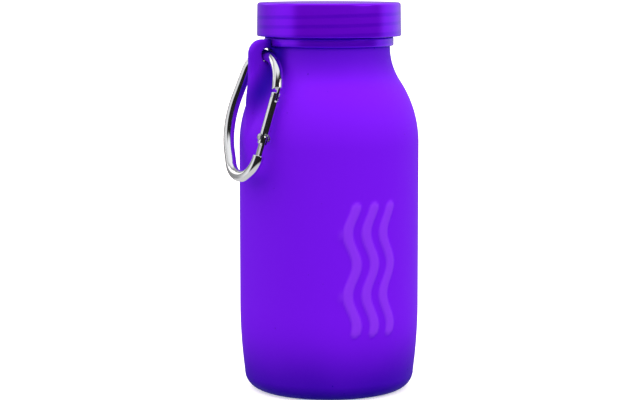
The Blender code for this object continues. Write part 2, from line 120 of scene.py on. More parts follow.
# Thread
LEAD = 0.0040
RIDGE_HEIGHT = 0.0009
RIDGE_ROOT = 0.0020
RIDGE_CREST = 0.0009
RIDGE_FADE = 0.125
RIDGE_SINK = 0.0005
RIDGE_TUCK = 0.0003
COLLAR_TURNS = 1.60
CAP_TURNS = 1.25
THREAD_DROP = 0.0029
COLLAR_RIDGE_BOTTOM = RIM - THREAD_DROP - LEAD * COLLAR_TURNS
CAP_RIDGE_BOTTOM = COLLAR_RIDGE_BOTTOM + LEAD / 2

# Facets
ROUND_STEPS = 144
RIDGE_STEPS = 96
WIRE_STEPS = 28
GATE_STEPS = 48
COARSE_ANGLE = 4
FINE_ANGLE = 1
# Middle and half width of the zones with fine angles
FINE_ZONES = ((180, 24), (270, 22))
# Edges shorter than this are cleared away
NO_LENGTH = 2e-7


def joint(name):
    return next(j for j in frame["joints"] if j["name"] == name)


def carabiner_axes():
    """The carabiner's own axes in the model: X out to the gate, Z up, and the ear's hole at the origin."""
    side = -Vector(joint("carabiner_swing")["axis"]).normalized()
    across = -Vector(joint("gate_open")["axis"]).normalized()
    turned = Matrix((side, across, side.cross(across))).transposed().to_4x4()
    return Matrix.Translation(joint("carabiner_swing")["pos_m"]) @ turned


CARABINER = carabiner_axes()
RIVET = CARABINER.inverted() @ Vector(joint("gate_open")["pos_m"])
HOLE_X = joint("carabiner_swing")["pos_m"][0] + SMALL_GAP
HOLE_Z = joint("carabiner_swing")["pos_m"][2] + SMALL_GAP


# ---------------------------------------------------------------- settings


class SiliconeSettings(bpy.types.PropertyGroup):
    colour: FloatVectorProperty(
        name="Colour", description="Colour of the silicone", subtype="COLOR", size=3, min=0, max=1,
        default=(0.218, 0.009, 0.95))
    # Painted shade: this colour is mixed in at the ear's hollow fillet, at the neck under the cap and towards
    # the bottom of the foot
    painted_shade_tint: FloatVectorProperty(
        name="Deep colour", description="Colour where the silicone is thickest", subtype="COLOR", size=3,
        min=0, max=1, default=(0.016, 0.0, 0.37))
    raised_colour: FloatVectorProperty(
        name="Raised colour", description="Colour of the raised waves", subtype="COLOR", size=3, min=0, max=1,
        default=(0.32, 0.045, 1.0))
    roughness: FloatProperty(
        name="Roughness", description="Roughness of the satin skin", subtype="FACTOR", min=0, max=1,
        default=0.48)
    ear_thickness: FloatProperty(
        name="Ear thickness", description="Thickness of the moulded ear", unit="LENGTH", default=0.0046)
    ear_fillet: FloatProperty(
        name="Ear fillet", description="Size of the hollow fillet between ear and shoulder", unit="LENGTH",
        default=0.0085)
    hole_radius: FloatProperty(
        name="Hole radius", description="Radius of the hole in the ear", unit="LENGTH", default=0.0028)
    wave_height: FloatProperty(
        name="Wave height", description="How far the waves stand out", unit="LENGTH", default=0.0004)
    wave_width: FloatProperty(
        name="Wave width", description="Width of one raised wave", unit="LENGTH", default=0.0042)


class PlasticSettings(bpy.types.PropertyGroup):
    colour: FloatVectorProperty(
        name="Colour", description="Colour of the cap and the collar", subtype="COLOR", size=3, min=0, max=1,
        default=(0.235, 0.004, 1.0))
    # Painted shade: darker colour where the thread's shadow shows through the translucent skirt
    thread_shadow_colour: FloatVectorProperty(
        name="Thread colour", description="Colour where the thread lies behind the skirt", subtype="COLOR",
        size=3, min=0, max=1, default=(0.125, 0.0, 0.80))
    seal_colour: FloatVectorProperty(
        name="Seal colour", description="Colour of the seal", subtype="COLOR", size=3, min=0, max=1,
        default=(0.80, 0.80, 0.84))
    roughness: FloatProperty(
        name="Roughness", description="Roughness of the moulded plastic", subtype="FACTOR", min=0, max=1,
        default=0.20)
    edge: FloatProperty(
        name="Edge rounding", description="Rounding of the cap's top edge", unit="LENGTH", default=0.0011)


class MetalSettings(bpy.types.PropertyGroup):
    colour: FloatVectorProperty(
        name="Colour", description="Colour of the bright metal", subtype="COLOR", size=3, min=0, max=1,
        default=(0.86, 0.87, 0.89))
    pin_colour: FloatVectorProperty(
        name="Pin colour", description="Colour of the pins and the spring", subtype="COLOR", size=3, min=0,
        max=1, default=(0.62, 0.63, 0.65))
    wire_radius: FloatProperty(
        name="Wire radius", description="Radius of the carabiner's wire", unit="LENGTH", default=0.0023)
    gate_radius: FloatProperty(
        name="Gate radius", description="Radius of the gate", unit="LENGTH", default=0.0020)


class StageSettings(bpy.types.PropertyGroup):
    sky: FloatVectorProperty(
        name="Light from above", description="Soft light from above", subtype="COLOR", size=3,
        default=(1.60, 1.45, 1.45))
    ground: FloatVectorProperty(
        name="Light from below", description="Soft light from below", subtype="COLOR", size=3,
        default=(0.01, 0.04, 0.28))
    floor_colour: FloatVectorProperty(
        name="Floor colour", description="Colour of the pale floor", subtype="COLOR", size=3, min=0, max=1,
        default=(0.90, 0.90, 0.91))
    camera_distance: FloatProperty(
        name="Camera distance", description="From the bottle's axis", unit="LENGTH", default=0.8393)
    camera_height: FloatProperty(
        name="Camera height", description="Above the floor", unit="LENGTH", default=0.1805)
    camera_side: FloatProperty(
        name="Camera side", description="Turn round the bottle, from the -Y side towards the ear",
        subtype="ANGLE", default=math.radians(26.5))
    camera_dip: FloatProperty(
        name="Camera dip", description="How far the camera looks down", subtype="ANGLE",
        default=math.radians(6.934))
    lens: FloatProperty(
        name="Lens", description="Focal length in millimetres on a 36 mm sensor", default=111.06)


# ---------------------------------------------------------------- materials


SILICONE_GLOSS = 0.025
PLASTIC_GLOSS = 0.12
PLASTIC_METALLIC = 0.38
# How far below the cap's top the painted shade of the thread begins to show through, and where it shows in
# full
SHOW_FROM = 0.0020
SHOW_FULL = 0.0040


class Value:
    """A number in a node tree. Its operators add Math nodes."""

    def __init__(self, recipe, socket):
        self.recipe = recipe
        self.socket = socket

    def __add__(self, other):
        return self.recipe.math("ADD", self, other)

    def __sub__(self, other):
        return self.recipe.math("SUBTRACT", self, other)

    def __rsub__(self, other):
        return self.recipe.math("SUBTRACT", other, self)

    def __mul__(self, other):
        return self.recipe.math("MULTIPLY", self, other)

    def __truediv__(self, other):
        return self.recipe.math("DIVIDE", self, other)

    __radd__ = __add__
    __rmul__ = __mul__


class Recipe:
    """A node tree that is filled in with plain expressions."""

    def __init__(self, tree):
        self.tree = tree

    def node(self, kind, settings, inputs):
        made = self.tree.nodes.new(kind)
        for name, setting in settings.items():
            setattr(made, name, setting)
        for name, value in inputs.items():
            self.plug(made.inputs[name], value)
        return made

    def plug(self, socket, value):
        if isinstance(value, Value):
            value = value.socket
        if isinstance(value, bpy.types.NodeSocket):
            self.tree.links.new(value, socket)
        else:
            socket.default_value = value

    def math(self, operation, first, second=0.0):
        made = self.node("ShaderNodeMath", {"operation": operation}, {0: first, 1: second})
        return Value(self, made.outputs[0])

    def between(self, value, low, high, from_value=0.0, to_value=1.0):
        """The value's smooth way from low to high, given out as from_value to to_value."""
        made = self.node("ShaderNodeMapRange", {"interpolation_type": "SMOOTHSTEP"},
                         {"Value": value, "From Min": low, "From Max": high, "To Min": from_value,
                          "To Max": to_value})
        return Value(self, made.outputs["Result"])

    def noise(self, vector, scale, detail=2.0):
        made = self.node("ShaderNodeTexNoise", {}, {"Vector": vector, "Scale": scale, "Detail": detail})
        return Value(self, made.outputs["Fac"])

    def specks(self, vector, scale, radius, share):
        """1 in small round specks, in about the given share of cells of a random pattern."""
        cells = self.node("ShaderNodeTexVoronoi", {}, {"Vector": vector, "Scale": scale})
        pick = self.node("ShaderNodeSeparateColor", {}, {"Color": cells.outputs["Color"]})
        chosen = self.math("GREATER_THAN", Value(self, pick.outputs[0]), 1.0 - share)
        near = self.between(Value(self, cells.outputs["Distance"]), radius, radius / 2)
        return chosen * near

    def mix(self, factor, first, second):
        """A colour between two colours. Both are colours or colour sockets."""
        made = self.node("ShaderNodeMix", {"data_type": "RGBA"}, {0: factor, 6: first, 7: second})
        return made.outputs[2]

    def stretched(self, vector, stretch):
        made = self.node("ShaderNodeVectorMath", {"operation": "MULTIPLY"}, {0: vector, 1: stretch})
        return made.outputs[0]

    def attribute(self, name, output):
        return self.node("ShaderNodeAttribute", {"attribute_name": name}, {}).outputs[output]

    def bump(self, height, distance):
        return self.node("ShaderNodeBump", {}, {"Height": height, "Distance": distance}).outputs["Normal"]


def opaque(colour):
    return (*colour, 1.0)


def new_material(name):
    """A new material, its recipe and its main shader."""
    material = bpy.data.materials.new(name)
    material.use_nodes = True
    return material, Recipe(material.node_tree), material.node_tree.nodes["Principled BSDF"]


def place_in(recipe):
    return recipe.node("ShaderNodeTexCoord", {}, {}).outputs["Object"]


def silicone_material(settings):
    """Satin silicone with a fine grain, a few dust specks, and painted shade in the ear's hollow, at the neck
    under the cap and towards the bottom of the foot.
    """
    material, recipe, shader = new_material("satin_silicone")
    rest = recipe.attribute("rest", "Vector")
    raised = Value(recipe, recipe.attribute("raised", "Fac"))
    # The depth attribute carries painted shade: the ear's hollow, the neck under the cap and the bottom of
    # the foot
    depth = Value(recipe, recipe.attribute("depth", "Fac"))
    clouds = recipe.noise(rest, 26.0)
    grain = recipe.noise(rest, 1900.0, 3.0)
    specks = recipe.specks(rest, 210.0, 0.09, 0.16)
    # Random cloudy tone and dust specks, plus the painted shade
    shade = (clouds - 0.5) * 0.22 + specks * 0.30 + depth
    shade = recipe.between(shade, 0.0, 1.0)
    body = recipe.mix(shade, opaque(settings.colour), opaque(settings.painted_shade_tint))
    colour = recipe.mix(raised * 0.85, body, opaque(settings.raised_colour))
    recipe.plug(shader.inputs["Base Color"], colour)
    recipe.plug(shader.inputs["Roughness"], settings.roughness + (clouds - 0.5) * 0.12 + (grain - 0.5) * 0.08)
    recipe.plug(shader.inputs["Normal"], recipe.bump(grain + specks * 2.0, 0.00003))
    shader.inputs["Specular IOR Level"].default_value = SILICONE_GLOSS
    return material


def plastic_material(settings):
    """Glossy moulded plastic, with painted shade of the thread showing through the skirt and streaky random
    tone.
    """
    material, recipe, shader = new_material("gloss_plastic")
    place = place_in(recipe)
    parts = recipe.node("ShaderNodeSeparateXYZ", {}, {"Vector": place}).outputs
    turn = recipe.math("ARCTAN2", Value(recipe, parts[1]), Value(recipe, parts[0])) * (0.5 / math.pi)
    phase = (Value(recipe, parts[2]) / LEAD - turn) * math.tau
    # Painted shade: darker bands along the thread behind the skirt, plus streaky random tone
    ridges = recipe.between(recipe.math("SINE", phase), -0.4, 0.9)
    in_skirt = recipe.between(Value(recipe, parts[2]), CAP_TOP - SHOW_FROM, CAP_TOP - SHOW_FULL)
    flow = recipe.noise(recipe.stretched(place, (1.0, 1.0, 5.0)), 60.0)
    show = ridges * in_skirt * 0.55 + (flow - 0.5) * 0.5
    thread_shade_and_tone = recipe.between(show, 0.0, 1.0)
    colour = recipe.mix(thread_shade_and_tone, opaque(settings.colour), opaque(settings.thread_shadow_colour))
    fine = recipe.noise(place, 900.0)
    recipe.plug(shader.inputs["Base Color"], colour)
    recipe.plug(shader.inputs["Roughness"], settings.roughness + (flow - 0.5) * 0.10)
    recipe.plug(shader.inputs["Normal"], recipe.bump(fine, 0.00001))
    shader.inputs["Specular IOR Level"].default_value = PLASTIC_GLOSS
    shader.inputs["Metallic"].default_value = PLASTIC_METALLIC
    return material


def seal_material(settings):
    material, recipe, shader = new_material("pale_rubber")
    grain = recipe.noise(place_in(recipe), 1200.0)
    pale = opaque(settings.seal_colour)
    dark = opaque([part * 0.8 for part in settings.seal_colour])
    recipe.plug(shader.inputs["Base Color"], recipe.mix(grain, pale, dark))
    recipe.plug(shader.inputs["Roughness"], 0.5 + grain * 0.2)
    recipe.plug(shader.inputs["Normal"], recipe.bump(grain, 0.00002))
    return material


def bright_material(settings):
    """Bright plated metal with a few smudges and fine rubbed lines."""
    material, recipe, shader = new_material("bright_plating")
    place = place_in(recipe)
    smudge = recipe.noise(place, 160.0, 3.0)
    lines = recipe.noise(recipe.stretched(place, (1.0, 1.0, 0.08)), 2600.0)
    tint = opaque([part * 0.90 for part in settings.colour])
    recipe.plug(shader.inputs["Base Color"], recipe.mix(smudge, opaque(settings.colour), tint))
    recipe.plug(shader.inputs["Roughness"], 0.05 + smudge * 0.08)
    recipe.plug(shader.inputs["Normal"], recipe.bump(lines, 0.000004))
    shader.inputs["Metallic"].default_value = 1.0
    return material


def pin_material(settings):
    material, recipe, shader = new_material("drawn_steel")
    place = place_in(recipe)
    drawn = recipe.noise(recipe.stretched(place, (6.0, 0.3, 6.0)), 900.0)
    dark = opaque([part * 0.75 for part in settings.pin_colour])
    recipe.plug(shader.inputs["Base Color"], recipe.mix(drawn, opaque(settings.pin_colour), dark))
    recipe.plug(shader.inputs["Roughness"], 0.22 + drawn * 0.16)
    recipe.plug(shader.inputs["Normal"], recipe.bump(drawn, 0.000006))
    shader.inputs["Metallic"].default_value = 1.0
    return material


# ---------------------------------------------------------------- shapes


def new_object(name, mesh, material=None):
    made = bpy.data.objects.new(name, mesh)
    bpy.context.scene.collection.objects.link(made)
    if material is not None:
        mesh.materials.append(material)
    return made


def smooth(mesh, angle=35.0):
    mesh.shade_smooth()
    mesh.set_sharp_from_angle(angle=math.radians(angle))


def mesh_from(name, bm):
    bmesh.ops.recalc_face_normals(bm, faces=bm.faces)
    if bm.calc_volume(signed=True) < 0:
        bmesh.ops.reverse_faces(bm, faces=bm.faces)
    mesh = bpy.data.meshes.new(name)
    bm.to_mesh(mesh)
    bm.free()
    smooth(mesh)
    return mesh


def arc(centre, radius, start, end, steps):
    """Points on an arc from one angle to another, in degrees, both ends included."""
    angles = np.radians(np.linspace(start, end, steps + 1))
    return [(centre[0] + radius * math.cos(a), centre[1] + radius * math.sin(a)) for a in angles]


def straight(first, last, spacing):
    """Points on a straight run at about the given spacing, without its two ends."""
    count = max(1, round(math.dist(first, last) / spacing))
    return [tuple(np.array(first) + (np.array(last) - np.array(first)) * i / count) for i in range(1, count)]


def turned(name, outline, angles):
    """A closed mesh turned about Z from an outline of (radius, height) points that starts and ends on Z
    or closes on itself."""
    bm = bmesh.new()
    rings = []
    for radius, height in outline:
        if radius < 1e-7:
            rings.append([bm.verts.new((0.0, 0.0, height))])
            continue
        rings.append([bm.verts.new((radius * math.cos(a), radius * math.sin(a), height)) for a in angles])
    pairs = list(zip(rings, rings[1:]))
    if len(rings[0]) > 1:
        pairs.append((rings[-1], rings[0]))
    count = len(angles)
    for low, high in pairs:
        for i in range(count):
            j = (i + 1) % count
            corners = [low[i % len(low)], low[j % len(low)], high[j % len(high)], high[i % len(high)]]
            bm.faces.new(list(dict.fromkeys(corners)))
    return mesh_from(name, bm)


def even_angles(steps):
    return [math.tau * i / steps for i in range(steps)]


def graded_angles():
    """Angles round the body: fine at the ear and at the waves, coarser elsewhere."""
    angles = []
    here = 0
    while here < 360:
        angles.append(math.radians(here))
        fine = any(abs(here - middle) < half for middle, half in FINE_ZONES)
        here += FINE_ANGLE if fine else COARSE_ANGLE
    return angles


def plate(name, outline, thickness, edge=0.0):
    """A flat plate centred on Y = 0, from an outline of (x, z) points, with its edges eased if asked."""
    bm = bmesh.new()
    face = bm.faces.new([bm.verts.new((x, -thickness / 2, z)) for x, z in outline])
    grown = bmesh.ops.extrude_face_region(bm, geom=[face])
    moved = [v for v in grown["geom"] if isinstance(v, bmesh.types.BMVert)]
    bmesh.ops.translate(bm, verts=moved, vec=(0, thickness, 0))
    if edge:
        rims = [e for e in bm.edges if abs(e.verts[0].co.y - e.verts[1].co.y) < thickness / 2]
        bmesh.ops.bevel(bm, geom=rims, offset=edge, segments=2, affect="EDGES", profile=0.5,
                        clamp_overlap=True)
    return mesh_from(name, bm)


def rod(name, radius, length, place, steps=32):
    """A round bar along Y."""
    bm = bmesh.new()
    bmesh.ops.create_cone(bm, cap_ends=True, segments=steps, radius1=radius, radius2=radius, depth=length)
    turn = Matrix.Rotation(math.pi / 2, 4, "X")
    bmesh.ops.transform(bm, matrix=Matrix.Translation(place) @ turn, verts=bm.verts)
    return mesh_from(name, bm)


def block(name, size, place):
    bm = bmesh.new()
    bmesh.ops.create_cube(bm, size=1.0)
    bmesh.ops.transform(bm, matrix=Matrix.Translation(place) @ Matrix.Diagonal((*size, 1.0)), verts=bm.verts)
    return mesh_from(name, bm)


def ridge(name, wall_radius, bottom, turns, inward):
    """A right-hand helical ridge on a round wall, whose ends fade into the wall."""
    side = -1.0 if inward else 1.0
    bm = bmesh.new()
    rings = []
    for i in range(round(RIDGE_STEPS * turns) + 1):
        turn = i / RIDGE_STEPS
        fade = min(1.0, turn / RIDGE_FADE, (turns - turn) / RIDGE_FADE)
        crest = wall_radius + side * (RIDGE_HEIGHT * fade - RIDGE_TUCK * (1.0 - fade))
        root = wall_radius - side * RIDGE_SINK
        spots = [(root, -RIDGE_ROOT), (crest, -RIDGE_CREST), (crest, RIDGE_CREST), (root, RIDGE_ROOT)]
        angle = math.tau * turn
        height = bottom + LEAD * turn
        rings.append([bm.verts.new((r * math.cos(angle), r * math.sin(angle), height + half / 2))
                      for r, half in spots])
    for low, high in zip(rings, rings[1:]):
        for k in range(4):
            bm.faces.new((low[k], low[(k + 1) % 4], high[(k + 1) % 4], high[k]))
    bm.faces.new(rings[0])
    bm.faces.new(list(reversed(rings[-1])))
    return mesh_from(name, bm)


def joined(name, first, changes):
    """The first mesh after joining or cutting it with others: changes are (operation, mesh) pairs."""
    carrier = new_object(name, first)
    tools = []
    for operation, mesh in changes:
        tool = new_object(mesh.name, mesh)
        tools.append(tool)
        modifier = carrier.modifiers.new(mesh.name, "BOOLEAN")
        modifier.operation = operation
        modifier.solver = "EXACT"
        modifier.object = tool
    result = evaluated_mesh(carrier)
    for item in tools + [carrier]:
        bpy.data.objects.remove(item, do_unlink=True)
    if not result.polygons:
        raise RuntimeError(name + " came out empty")
    result.name = name
    clean(result)
    smooth(result)
    return result


def clean(mesh):
    """Clears the faces without area that a join or a cut leaves."""
    bm = bmesh.new()
    bm.from_mesh(mesh)
    bmesh.ops.remove_doubles(bm, verts=bm.verts, dist=NO_LENGTH)
    bmesh.ops.dissolve_degenerate(bm, edges=bm.edges, dist=NO_LENGTH)
    bm.to_mesh(mesh)
    bm.free()


def evaluated_mesh(item):
    graph = bpy.context.evaluated_depsgraph_get()
    return bpy.data.meshes.new_from_object(item.evaluated_get(graph))


def finish_piece(name, mesh, material, body, nodes):
    """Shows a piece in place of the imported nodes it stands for."""
    piece = new_object(name, mesh, material)
    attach(piece, body)
    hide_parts(*nodes)
    return piece


# ---------------------------------------------------------------- silicone body


# How far out on the ear the painted shade of its hollow reaches, and the room left round the carabiner's
# centre line
EAR_SHADE = 0.0110
WIRE_ROOM = 0.0025
# Fillet: heights over the ear's foot where it starts and is full, height over the ledge where it is
# narrowest, the way down from there to its full size, and its share and size at the least
FILLET_START = 0.002
FILLET_FULL = 0.022
FILLET_TOP = 0.002
FILLET_FALL = 0.010
FILLET_SHARE = 0.25
FILLET_LEAST = 0.0002
# How strong the painted shade is at the darkest of the ear's hollow, the neck under the cap and the foot, and
# between which heights:
# over the ear's foot, over the ledge, and over the ground with the foot's upside down
EAR_SHADE_STRENGTH = 0.95
EAR_SHADE_RISE = (0.006, 0.024)
EAR_SHADE_ACROSS = 1.5 * EAR_SHADE
NECK_SHADE_STRENGTH = 0.40
NECK_SHADE_RISE = (-0.022, -0.004)
FOOT_SHADE_STRENGTH = 0.78
FOOT_SHADE_RISE = (-0.040, 0.004)
# Settling points on the skin: the step its slope is taken over, and the least slope that counts
SLOPE_STEP = 2e-5
LEAST_SLOPE = 0.1
# Raised waves: sideways place, lowest and highest end
WAVES = ((-0.0080, 0.0300, 0.0815), (0.0, 0.0300, 0.0815), (0.0080, 0.0300, 0.0815))
WAVE_SWING = 0.0019
WAVE_LENGTH = 0.0258
WAVE_SOFTNESS = 0.0010


def shoulder_foot():
    narrowing = BODY_RADIUS - NECK_RADIUS
    return LEDGE - NECK_STRAIGHT - math.sqrt(2 * (SHOULDER_ARC + NECK_ARC) * narrowing - narrowing ** 2)


def shoulder_arcs(inset, steps):
    """The shoulder's convex and hollow arcs, from the side up to the neck."""
    top = LEDGE - NECK_STRAIGHT
    foot = shoulder_foot()
    rise = math.degrees(math.atan2(top - foot, SHOULDER_ARC + NECK_ARC - BODY_RADIUS + NECK_RADIUS))
    convex = arc((BODY_RADIUS - SHOULDER_ARC, foot), SHOULDER_ARC - inset, 0, rise, steps)
    hollow = arc((NECK_RADIUS + NECK_ARC, top), NECK_ARC + inset, 180 + rise, 180, steps)
    return convex + hollow[1:]


def foot_curve(inset, floor, steps):
    """The foot's rounding and its slight taper up to the straight side."""
    corner = arc((FOOT_RADIUS - FOOT_ROUNDING, FOOT_ROUNDING), FOOT_ROUNDING - inset, -90, 0, steps)
    corner = [(r, max(z, floor)) for r, z in corner]
    shares = np.linspace(0, 1, 2 * steps + 1)[1:]
    taper = [(BODY_RADIUS - inset - FOOT_TAPER * (1 - s) ** 2, FOOT_ROUNDING + (FOOT_TOP - FOOT_ROUNDING) * s)
             for s in shares]
    return corner + taper


def outer_outline():
    """The body's outer skin from the middle of its underside up to the ledge."""
    underside = [(0.0, 0.0)] + [(row, 0.0) for row in UNDERSIDE_ROWS]
    side = straight((BODY_RADIUS, FOOT_TOP), (BODY_RADIUS, shoulder_foot()), SIDE_ROW)
    return underside + foot_curve(0.0, 0.0, 14) + side + shoulder_arcs(0.0, 22) + [(NECK_RADIUS, LEDGE)]


def inner_outline():
    """The inside from the mouth down to the middle of the floor."""
    upward = [p for p in foot_curve(WALL, FLOOR, 8) if p[1] > FLOOR + 1e-6]
    upward += straight(upward[-1], (BODY_RADIUS - WALL, shoulder_foot()), INNER_ROW)
    upward += shoulder_arcs(WALL, 10)[:-1] + [(MOUTH_RADIUS, LEDGE)]
    return list(reversed(upward)) + [(FOOT_RADIUS - FOOT_ROUNDING, FLOOR), (FLOOR_ROW, FLOOR), (0.0, FLOOR)]


def lining_outline():
    """The silicone lining of the mouth, with its rounded rim."""
    r = RIM_ROUNDING
    outside = arc((LINING_RADIUS - r, RIM - r), r, 0, 90, 4)
    inside = arc((MOUTH_RADIUS + r, RIM - r), r, 90, 180, 4)
    return [(LINING_RADIUS, LEDGE)] + outside + inside


def ear_outline():
    """The ear seen from its flat side: its inner side lies within the shoulder's wall."""
    corner = arc((EAR_CORNER - EAR_OUTSIDE, EAR_TOP - EAR_CORNER), EAR_CORNER, 180, 90, 12)
    buried = [(-r, z) for r, z in reversed(shoulder_arcs(WALL / 2, 12))]
    bead_side = -(BEAD_RADIUS + GAP)
    neck = [(bead_side, EAR_TOP), (bead_side, LEDGE - GAP), (WALL / 2 - NECK_RADIUS, LEDGE - GAP)]
    return corner + neck + buried[1:] + [(-EAR_OUTSIDE, shoulder_foot())]


def outline_distance(points, outline):
    """Distance in a plane from points to a closed outline, negative inside."""
    nearest = np.full(len(points), np.inf)
    inside = np.zeros(len(points), bool)
    corners = np.array(outline)
    for start, end in zip(corners, np.roll(corners, -1, axis=0)):
        run = end - start
        offset = points - start
        length = run @ run
        if length < 1e-16:
            continue
        share = np.clip(offset @ run / length, 0, 1)
        nearest = np.minimum(nearest, ((offset - share[:, None] * run) ** 2).sum(1))
        if run[1]:
            crosses = (start[1] > points[:, 1]) != (end[1] > points[:, 1])
            inside ^= crosses & (offset[:, 0] < run[0] * offset[:, 1] / run[1])
    return np.where(inside, -1, 1) * np.sqrt(nearest)


def eased_step(values, low, high):
    """0 at low and 1 at high, with a smooth way between."""
    share = np.clip((values - low) / (high - low), 0, 1)
    return share * share * (3 - 2 * share)


def soft_least(first, second, reach):
    """The lesser of two distances, with a rounded hollow where they meet."""
    near = np.maximum(reach - np.abs(first - second), 0) / reach
    return np.minimum(first, second) - near * near * reach / 4


class SkinShape:
    """The distance from points to the skin of the body with its ear, negative inside."""

    def __init__(self, settings):
        self.settings = settings
        self.body = [(-0.001, 0.0)] + outer_outline()[1:] + [(-0.001, LEDGE)]
        self.ear = ear_outline()
        self.foot = shoulder_foot()
        self.wire = wire_path()
        self.to_carabiner = np.array(CARABINER.inverted())

    def wire_distance(self, points):
        """Distance from the centre line of the carabiner, with its gate side closed."""
        placed = points @ self.to_carabiner[:3, :3].T + self.to_carabiner[:3, 3]
        return np.hypot(outline_distance(placed[:, [0, 2]], self.wire), placed[:, 1])

    def body_distance(self, points):
        around = np.column_stack([np.hypot(points[:, 0], points[:, 1]), points[:, 2]])
        return outline_distance(around, self.body)

    def ear_distance(self, points):
        flat = outline_distance(points[:, [0, 2]], self.ear) + EAR_EDGE
        side = np.abs(points[:, 1]) - self.settings.ear_thickness / 2 + EAR_EDGE
        outside = np.hypot(np.maximum(flat, 0), np.maximum(side, 0))
        return outside + np.minimum(np.maximum(flat, side), 0) - EAR_EDGE

    def hole_distance(self, points):
        return self.settings.hole_radius - np.hypot(points[:, 0] - HOLE_X, points[:, 2] - HOLE_Z)

    def fillet_reach(self, points):
        """The fillet fades out towards the ear's foot, and narrows under the collar."""
        rise = eased_step(points[:, 2], self.foot + FILLET_START, self.foot + FILLET_FULL)
        fall = np.clip((LEDGE + FILLET_TOP - points[:, 2]) / FILLET_FALL, 0, 1)
        share = rise * (FILLET_SHARE + (1 - FILLET_SHARE) * fall)
        return np.maximum(self.settings.ear_fillet * share, FILLET_LEAST)

    def distance(self, points):
        reach = self.fillet_reach(points)
        skin = soft_least(self.body_distance(points), self.ear_distance(points), reach)
        bored = -soft_least(-skin, -self.hole_distance(points), HOLE_EDGE)
        inward = BEAD_RADIUS + GAP - np.hypot(points[:, 0], points[:, 1])
        collar_room = np.minimum(inward, points[:, 2] - LEDGE)
        wire_room = WIRE_ROOM - self.wire_distance(points)
        return np.maximum(np.maximum(bored, collar_room), wire_room)

    def fillet_painted_shade(self, points):
        """Painted shade in the hollow where the ear meets the body: gone at the ear's edge."""
        body = self.body_distance(points)
        ear = self.ear_distance(points)
        along_ear = eased_step(-body, -EAR_SHADE, 0.0)
        along_body = eased_step(-ear, -EAR_SHADE_ACROSS, 0.0)
        low, high = EAR_SHADE_RISE
        upwards = eased_step(points[:, 2], self.foot + low, self.foot + high)
        return EAR_SHADE_STRENGTH * along_ear * along_body * upwards


def wall_painted_shade(points):
    """Painted shade on the wall itself: at the neck under the cap, over the collar, and darker towards the
    bottom of the foot.
    """
    low, high = NECK_SHADE_RISE
    neck = eased_step(points[:, 2], LEDGE + low, LEDGE + high)
    foot = eased_step(-points[:, 2], *FOOT_SHADE_RISE)
    return NECK_SHADE_STRENGTH * neck + FOOT_SHADE_STRENGTH * foot


def slope(distance, points):
    sides = np.eye(3) * SLOPE_STEP
    changes = [distance(points + side) - distance(points - side) for side in sides]
    return np.column_stack(changes) / (2 * SLOPE_STEP)


def settled(distance, points, rounds=7):
    """The points moved onto the surface where the distance is nothing."""
    for _ in range(rounds):
        steep = slope(distance, points)
        size = np.maximum((steep ** 2).sum(1), LEAST_SLOPE)
        points = points - steep * (distance(points) / size)[:, None]
    return points


def coordinates(mesh):
    places = np.empty(len(mesh.vertices) * 3)
    mesh.vertices.foreach_get("co", places)
    return places.reshape(-1, 3)


def set_coordinates(mesh, places):
    mesh.vertices.foreach_set("co", places.ravel())
    mesh.update()


def ear_mesh(shape):
    """The ear on its own, finely meshed, with rounded edges and a rounded hole."""
    width = shape.settings.ear_thickness
    bore = rod("ear_bore", shape.settings.hole_radius, width * 3, (HOLE_X, 0.0, HOLE_Z))
    rough = joined("ear_rough", plate("ear_plate", shape.ear, width), [("DIFFERENCE", bore)])
    carrier = new_object("ear_carrier", rough)
    remesh = carrier.modifiers.new("Even mesh", "REMESH")
    remesh.mode = "VOXEL"
    remesh.voxel_size = EAR_VOXEL
    mesh = evaluated_mesh(carrier)
    bpy.data.objects.remove(carrier, do_unlink=True)

    def alone(points):
        return -soft_least(-shape.ear_distance(points), -shape.hole_distance(points), HOLE_EDGE)

    set_coordinates(mesh, settled(alone, coordinates(mesh), 4))
    return mesh


def wave_mask(points, settings):
    """1 on the raised waves on the -Y side, falling to 0 at their soft edges."""
    across = BODY_RADIUS * (np.arctan2(points[:, 0], -points[:, 1]))
    height = points[:, 2]
    mask = np.zeros(len(points))
    for shift, low, high in WAVES:
        middle = shift + WAVE_SWING * np.sin(math.tau * height / WAVE_LENGTH)
        past = np.maximum(np.maximum(low - height, height - high), 0)
        away = np.hypot(across - middle, past) - settings.wave_width / 2
        mask = np.maximum(mask, np.clip(0.5 - away / WAVE_SOFTNESS, 0, 1))
    return eased_step(mask, 0, 1) * (points[:, 1] < 0)


def add_attribute(mesh, name, kind, field, values):
    attribute = mesh.attributes.new(name, kind, "POINT")
    attribute.data.foreach_set(field, np.ascontiguousarray(values, dtype=np.float32).ravel())


